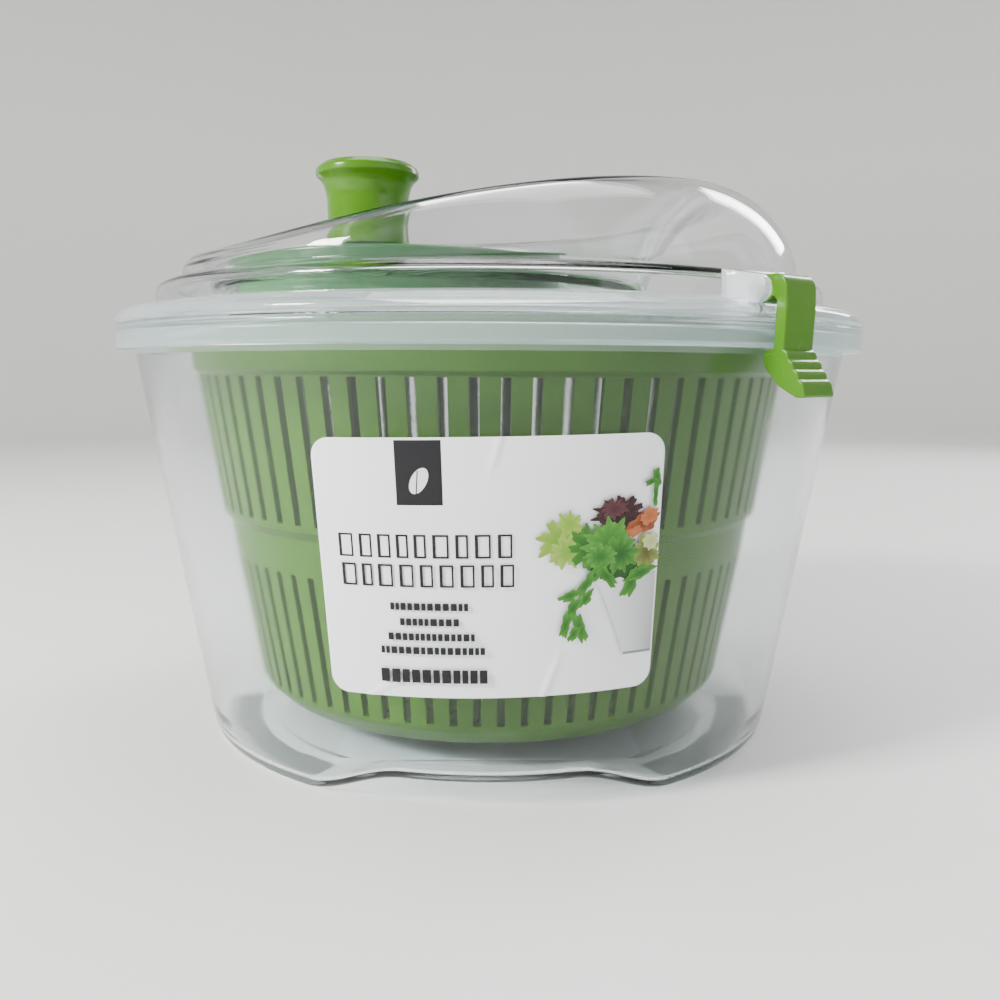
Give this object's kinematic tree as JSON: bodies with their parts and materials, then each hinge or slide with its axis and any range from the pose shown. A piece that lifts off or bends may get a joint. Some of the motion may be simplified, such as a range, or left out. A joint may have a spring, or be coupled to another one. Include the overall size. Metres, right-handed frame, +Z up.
{
  "type": "salad spinner",
  "caption": "Hand-cranked salad spinner: clear tapered bowl, green slotted basket, clear humped lid with crank wheel and knob, and rim latches.",
  "frame": {"origin": "centre of the base, on the surface that the bowl's feet stand on", "axes": "+Z up along the bowl's axis, -Y towards the front label, +X to the right"},
  "size_m": [0.25, 0.25, 0.1792],
  "materials": {
    "clear_bowl": "clear, slightly frosted polypropylene",
    "clear_lid": "very clear polished plastic",
    "green_plastic": "satin green moulded plastic",
    "lime_plastic": "glossy bright green moulded plastic",
    "white_plastic": "natural white moulded plastic",
    "steel": "stainless steel",
    "printed_label": "printed white paper label"
  },
  "bodies": {
    "bowl": {"bowl": "clear_bowl", "pivot_pin": "steel", "front_label": "printed_label", "base_label": "printed_label"},
    "basket_seat": {"thrust_washer": "white_plastic"},
    "basket": {"basket": "green_plastic"},
    "lid": {"lid": "clear_lid", "pinion_bush": "white_plastic", "wheel_screw": "steel", "wheel_washer": "steel", "latch_pin_right": "steel", "latch_pin_left": "steel"},
    "crank_wheel": {"crank_wheel": "green_plastic", "wheel_cap": "green_plastic", "knob_post": "steel", "knob_screw": "steel", "knob_washer": "steel"},
    "knob": {"knob": "lime_plastic", "knob_cap": "lime_plastic"},
    "driver": {"drive_pinion": "white_plastic", "drive_plate": "green_plastic", "plate_washer": "steel", "plate_screw": "steel"},
    "latch_right": {"latch_right": "lime_plastic"},
    "latch_left": {"latch_left": "lime_plastic"}
  },
  "joints": [
    {"name": "lid_lift", "type": "slide", "parent": "bowl", "child": "lid", "axis": [0, 0, 1], "range_m": [0, 0.26]},
    {"name": "basket_lift", "type": "slide", "parent": "bowl", "child": "basket_seat", "axis": [0, 0, 1], "range_m": [0, 0.13]},
    {"name": "basket_spin", "type": "hinge", "parent": "basket_seat", "child": "basket", "pos_m": [0, 0, 0.011], "axis": [0, 0, 1], "continuous": true},
    {"name": "crank_spin", "type": "hinge", "parent": "lid", "child": "crank_wheel", "pos_m": [-0.02995, -0.02257, 0.15], "axis": [0, 0, 1], "continuous": true},
    {"name": "knob_spin", "type": "hinge", "parent": "crank_wheel", "child": "knob", "pos_m": [-0.03511, -0.064, 0.165], "axis": [0, 0, 1], "continuous": true},
    {"name": "driver_spin", "type": "hinge", "parent": "lid", "child": "driver", "pos_m": [0, 0, 0.136], "axis": [0, 0, 1], "continuous": true},
    {"name": "latch_right_open", "type": "hinge", "parent": "lid", "child": "latch_right", "pos_m": [0.07342, -0.09743, 0.141], "axis": [-0.7986, -0.6018, 0], "range_deg": [0, 110]},
    {"name": "latch_left_open", "type": "hinge", "parent": "lid", "child": "latch_left", "pos_m": [-0.07342, 0.09743, 0.141], "axis": [0.7986, 0.6018, 0], "range_deg": [0, 110]}
  ],
  "couplings": [
    {"joint": "basket_lift", "follows": "lid_lift", "ratio": 0.5},
    {"joint": "driver_spin", "follows": "crank_spin", "ratio": 4.5714},
    {"joint": "basket_spin", "follows": "crank_spin", "ratio": 4.5714}
  ]
}
